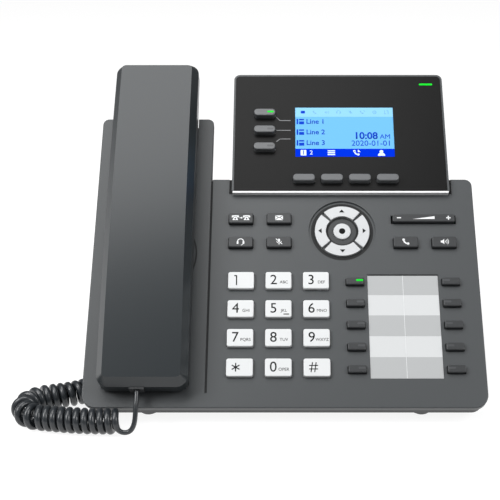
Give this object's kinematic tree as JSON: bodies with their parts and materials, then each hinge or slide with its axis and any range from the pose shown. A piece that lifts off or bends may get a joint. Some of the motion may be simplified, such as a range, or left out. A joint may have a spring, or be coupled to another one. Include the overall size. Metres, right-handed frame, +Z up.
{
  "type": "desk phone",
  "caption": "Desk IP phone with a sloping keypad face, a raised colour display, memory keys beside a label card, a handset in its cradle and a curly cord.",
  "frame": {"origin": "middle of the bounding box at desk level, without the cord", "axes": "+Z up from the desk, -Y towards the person who uses it, +X to their right"},
  "size_m": [0.2478, 0.1608, 0.1651],
  "materials": {
    "case": "fine-textured dark grey ABS",
    "pale_key": "satin pale grey key caps",
    "grey_key": "satin dark grey key caps",
    "silver_key": "silver-painted key caps",
    "panel": "black panel with a low gloss",
    "screen": "lit colour display under clear film",
    "card": "printed card",
    "board": "circuit board and moulded sockets",
    "mat": "silicone key mat",
    "foot": "soft black rubber",
    "screw": "zinc-plated steel",
    "cord": "glossy dark grey cord jacket"
  },
  "bodies": {
    "base": {"base_bottom_cover": "case", "base_top_cover": "case", "display_housing": "case", "display_panel": "panel", "lcd_module": "screen", "label_card": "card", "main_board": "board", "key_mat": "mat", "loudspeaker": "board", "desk_stand": "case", "rubber_feet": "foot", "cover_screws": "screw", "handset_cord": "cord", "base_plug": "panel"},
    "handset": {"handset_outer_shell": "case", "handset_inner_shell": "case", "handset_capsules": "board", "handset_plug": "panel"},
    "hook": {"hook_switch": "panel"},
    "volume": {"volume_rocker": "grey_key"},
    "digit_key_1": {"digit_key_1": "pale_key"},
    "digit_key_2": {"digit_key_2": "pale_key"},
    "digit_key_3": {"digit_key_3": "pale_key"},
    "digit_key_4": {"digit_key_4": "pale_key"},
    "digit_key_5": {"digit_key_5": "pale_key"},
    "digit_key_6": {"digit_key_6": "pale_key"},
    "digit_key_7": {"digit_key_7": "pale_key"},
    "digit_key_8": {"digit_key_8": "pale_key"},
    "digit_key_9": {"digit_key_9": "pale_key"},
    "digit_key_star": {"digit_key_star": "pale_key"},
    "digit_key_0": {"digit_key_0": "pale_key"},
    "digit_key_hash": {"digit_key_hash": "pale_key"},
    "nav_up_key": {"nav_up_key": "grey_key"},
    "nav_down_key": {"nav_down_key": "grey_key"},
    "nav_left_key": {"nav_left_key": "grey_key"},
    "nav_right_key": {"nav_right_key": "grey_key"},
    "nav_select_key": {"nav_select_key": "grey_key"},
    "transfer_key": {"transfer_key": "grey_key"},
    "message_key": {"message_key": "grey_key"},
    "headset_key": {"headset_key": "grey_key"},
    "mute_key": {"mute_key": "grey_key"},
    "call_key": {"call_key": "grey_key"},
    "speaker_key": {"speaker_key": "grey_key"},
    "memory_key_left_1": {"memory_key_left_1": "grey_key"},
    "memory_key_left_2": {"memory_key_left_2": "grey_key"},
    "memory_key_left_3": {"memory_key_left_3": "grey_key"},
    "memory_key_left_4": {"memory_key_left_4": "grey_key"},
    "memory_key_left_5": {"memory_key_left_5": "grey_key"},
    "memory_key_right_1": {"memory_key_right_1": "grey_key"},
    "memory_key_right_2": {"memory_key_right_2": "grey_key"},
    "memory_key_right_3": {"memory_key_right_3": "grey_key"},
    "memory_key_right_4": {"memory_key_right_4": "grey_key"},
    "memory_key_right_5": {"memory_key_right_5": "grey_key"},
    "line_key_1": {"line_key_1": "silver_key"},
    "line_key_2": {"line_key_2": "silver_key"},
    "line_key_3": {"line_key_3": "silver_key"},
    "soft_key_1": {"soft_key_1": "silver_key"},
    "soft_key_2": {"soft_key_2": "silver_key"},
    "soft_key_3": {"soft_key_3": "silver_key"},
    "soft_key_4": {"soft_key_4": "silver_key"}
  },
  "joints": [
    {"name": "handset_lift", "type": "slide", "parent": "base", "child": "handset", "axis": [0, -0.7071, 0.7071], "range_m": [0, 0.08], "deforming": ["handset_cord"]},
    {"name": "hook_travel", "type": "slide", "parent": "base", "child": "hook", "axis": [0, -0.7071, 0.7071], "range_m": [0, 0.0032]},
    {"name": "volume_rock", "type": "hinge", "parent": "base", "child": "volume", "pos_m": [0.07655, 0.00588, 0.0858], "axis": [0, 0.7071, 0.7071], "range_deg": [-3, 3], "stiffness_Nm_per_rad": 0.2},
    {"name": "digit_key_1_press", "type": "slide", "parent": "base", "child": "digit_key_1", "axis": [0, 0.7071, -0.7071], "range_m": [0, 0.0012], "stiffness_N_per_m": 300},
    {"name": "digit_key_2_press", "type": "slide", "parent": "base", "child": "digit_key_2", "axis": [0, 0.7071, -0.7071], "range_m": [0, 0.0012], "stiffness_N_per_m": 300},
    {"name": "digit_key_3_press", "type": "slide", "parent": "base", "child": "digit_key_3", "axis": [0, 0.7071, -0.7071], "range_m": [0, 0.0012], "stiffness_N_per_m": 300},
    {"name": "digit_key_4_press", "type": "slide", "parent": "base", "child": "digit_key_4", "axis": [0, 0.7071, -0.7071], "range_m": [0, 0.0012], "stiffness_N_per_m": 300},
    {"name": "digit_key_5_press", "type": "slide", "parent": "base", "child": "digit_key_5", "axis": [0, 0.7071, -0.7071], "range_m": [0, 0.0012], "stiffness_N_per_m": 300},
    {"name": "digit_key_6_press", "type": "slide", "parent": "base", "child": "digit_key_6", "axis": [0, 0.7071, -0.7071], "range_m": [0, 0.0012], "stiffness_N_per_m": 300},
    {"name": "digit_key_7_press", "type": "slide", "parent": "base", "child": "digit_key_7", "axis": [0, 0.7071, -0.7071], "range_m": [0, 0.0012], "stiffness_N_per_m": 300},
    {"name": "digit_key_8_press", "type": "slide", "parent": "base", "child": "digit_key_8", "axis": [0, 0.7071, -0.7071], "range_m": [0, 0.0012], "stiffness_N_per_m": 300},
    {"name": "digit_key_9_press", "type": "slide", "parent": "base", "child": "digit_key_9", "axis": [0, 0.7071, -0.7071], "range_m": [0, 0.0012], "stiffness_N_per_m": 300},
    {"name": "digit_key_star_press", "type": "slide", "parent": "base", "child": "digit_key_star", "axis": [0, 0.7071, -0.7071], "range_m": [0, 0.0012], "stiffness_N_per_m": 300},
    {"name": "digit_key_0_press", "type": "slide", "parent": "base", "child": "digit_key_0", "axis": [0, 0.7071, -0.7071], "range_m": [0, 0.0012], "stiffness_N_per_m": 300},
    {"name": "digit_key_hash_press", "type": "slide", "parent": "base", "child": "digit_key_hash", "axis": [0, 0.7071, -0.7071], "range_m": [0, 0.0012], "stiffness_N_per_m": 300},
    {"name": "nav_up_key_press", "type": "slide", "parent": "base", "child": "nav_up_key", "axis": [0, 0.7071, -0.7071], "range_m": [0, 0.0012], "stiffness_N_per_m": 300},
    {"name": "nav_down_key_press", "type": "slide", "parent": "base", "child": "nav_down_key", "axis": [0, 0.7071, -0.7071], "range_m": [0, 0.0012], "stiffness_N_per_m": 300},
    {"name": "nav_left_key_press", "type": "slide", "parent": "base", "child": "nav_left_key", "axis": [0, 0.7071, -0.7071], "range_m": [0, 0.0012], "stiffness_N_per_m": 300},
    {"name": "nav_right_key_press", "type": "slide", "parent": "base", "child": "nav_right_key", "axis": [0, 0.7071, -0.7071], "range_m": [0, 0.0012], "stiffness_N_per_m": 300},
    {"name": "nav_select_key_press", "type": "slide", "parent": "base", "child": "nav_select_key", "axis": [0, 0.7071, -0.7071], "range_m": [0, 0.0012], "stiffness_N_per_m": 300},
    {"name": "transfer_key_press", "type": "slide", "parent": "base", "child": "transfer_key", "axis": [0, 0.7071, -0.7071], "range_m": [0, 0.0012], "stiffness_N_per_m": 300},
    {"name": "message_key_press", "type": "slide", "parent": "base", "child": "message_key", "axis": [0, 0.7071, -0.7071], "range_m": [0, 0.0012], "stiffness_N_per_m": 300},
    {"name": "headset_key_press", "type": "slide", "parent": "base", "child": "headset_key", "axis": [0, 0.7071, -0.7071], "range_m": [0, 0.0012], "stiffness_N_per_m": 300},
    {"name": "mute_key_press", "type": "slide", "parent": "base", "child": "mute_key", "axis": [0, 0.7071, -0.7071], "range_m": [0, 0.0012], "stiffness_N_per_m": 300},
    {"name": "call_key_press", "type": "slide", "parent": "base", "child": "call_key", "axis": [0, 0.7071, -0.7071], "range_m": [0, 0.0012], "stiffness_N_per_m": 300},
    {"name": "speaker_key_press", "type": "slide", "parent": "base", "child": "speaker_key", "axis": [0, 0.7071, -0.7071], "range_m": [0, 0.0012], "stiffness_N_per_m": 300},
    {"name": "memory_key_left_1_press", "type": "slide", "parent": "base", "child": "memory_key_left_1", "axis": [0, 0.7071, -0.7071], "range_m": [0, 0.0012], "stiffness_N_per_m": 300},
    {"name": "memory_key_left_2_press", "type": "slide", "parent": "base", "child": "memory_key_left_2", "axis": [0, 0.7071, -0.7071], "range_m": [0, 0.0012], "stiffness_N_per_m": 300},
    {"name": "memory_key_left_3_press", "type": "slide", "parent": "base", "child": "memory_key_left_3", "axis": [0, 0.7071, -0.7071], "range_m": [0, 0.0012], "stiffness_N_per_m": 300},
    {"name": "memory_key_left_4_press", "type": "slide", "parent": "base", "child": "memory_key_left_4", "axis": [0, 0.7071, -0.7071], "range_m": [0, 0.0012], "stiffness_N_per_m": 300},
    {"name": "memory_key_left_5_press", "type": "slide", "parent": "base", "child": "memory_key_left_5", "axis": [0, 0.7071, -0.7071], "range_m": [0, 0.0012], "stiffness_N_per_m": 300},
    {"name": "memory_key_right_1_press", "type": "slide", "parent": "base", "child": "memory_key_right_1", "axis": [0, 0.7071, -0.7071], "range_m": [0, 0.0012], "stiffness_N_per_m": 300},
    {"name": "memory_key_right_2_press", "type": "slide", "parent": "base", "child": "memory_key_right_2", "axis": [0, 0.7071, -0.7071], "range_m": [0, 0.0012], "stiffness_N_per_m": 300},
    {"name": "memory_key_right_3_press", "type": "slide", "parent": "base", "child": "memory_key_right_3", "axis": [0, 0.7071, -0.7071], "range_m": [0, 0.0012], "stiffness_N_per_m": 300},
    {"name": "memory_key_right_4_press", "type": "slide", "parent": "base", "child": "memory_key_right_4", "axis": [0, 0.7071, -0.7071], "range_m": [0, 0.0012], "stiffness_N_per_m": 300},
    {"name": "memory_key_right_5_press", "type": "slide", "parent": "base", "child": "memory_key_right_5", "axis": [0, 0.7071, -0.7071], "range_m": [0, 0.0012], "stiffness_N_per_m": 300},
    {"name": "line_key_1_press", "type": "slide", "parent": "base", "child": "line_key_1", "axis": [0, 0.7071, -0.7071], "range_m": [0, 0.001], "stiffness_N_per_m": 300},
    {"name": "line_key_2_press", "type": "slide", "parent": "base", "child": "line_key_2", "axis": [0, 0.7071, -0.7071], "range_m": [0, 0.001], "stiffness_N_per_m": 300},
    {"name": "line_key_3_press", "type": "slide", "parent": "base", "child": "line_key_3", "axis": [0, 0.7071, -0.7071], "range_m": [0, 0.001], "stiffness_N_per_m": 300},
    {"name": "soft_key_1_press", "type": "slide", "parent": "base", "child": "soft_key_1", "axis": [0, 0.7071, -0.7071], "range_m": [0, 0.001], "stiffness_N_per_m": 300},
    {"name": "soft_key_2_press", "type": "slide", "parent": "base", "child": "soft_key_2", "axis": [0, 0.7071, -0.7071], "range_m": [0, 0.001], "stiffness_N_per_m": 300},
    {"name": "soft_key_3_press", "type": "slide", "parent": "base", "child": "soft_key_3", "axis": [0, 0.7071, -0.7071], "range_m": [0, 0.001], "stiffness_N_per_m": 300},
    {"name": "soft_key_4_press", "type": "slide", "parent": "base", "child": "soft_key_4", "axis": [0, 0.7071, -0.7071], "range_m": [0, 0.001], "stiffness_N_per_m": 300}
  ],
  "couplings": [
    {"joint": "hook_travel", "follows": "handset_lift", "ratio": 0.04}
  ]
}
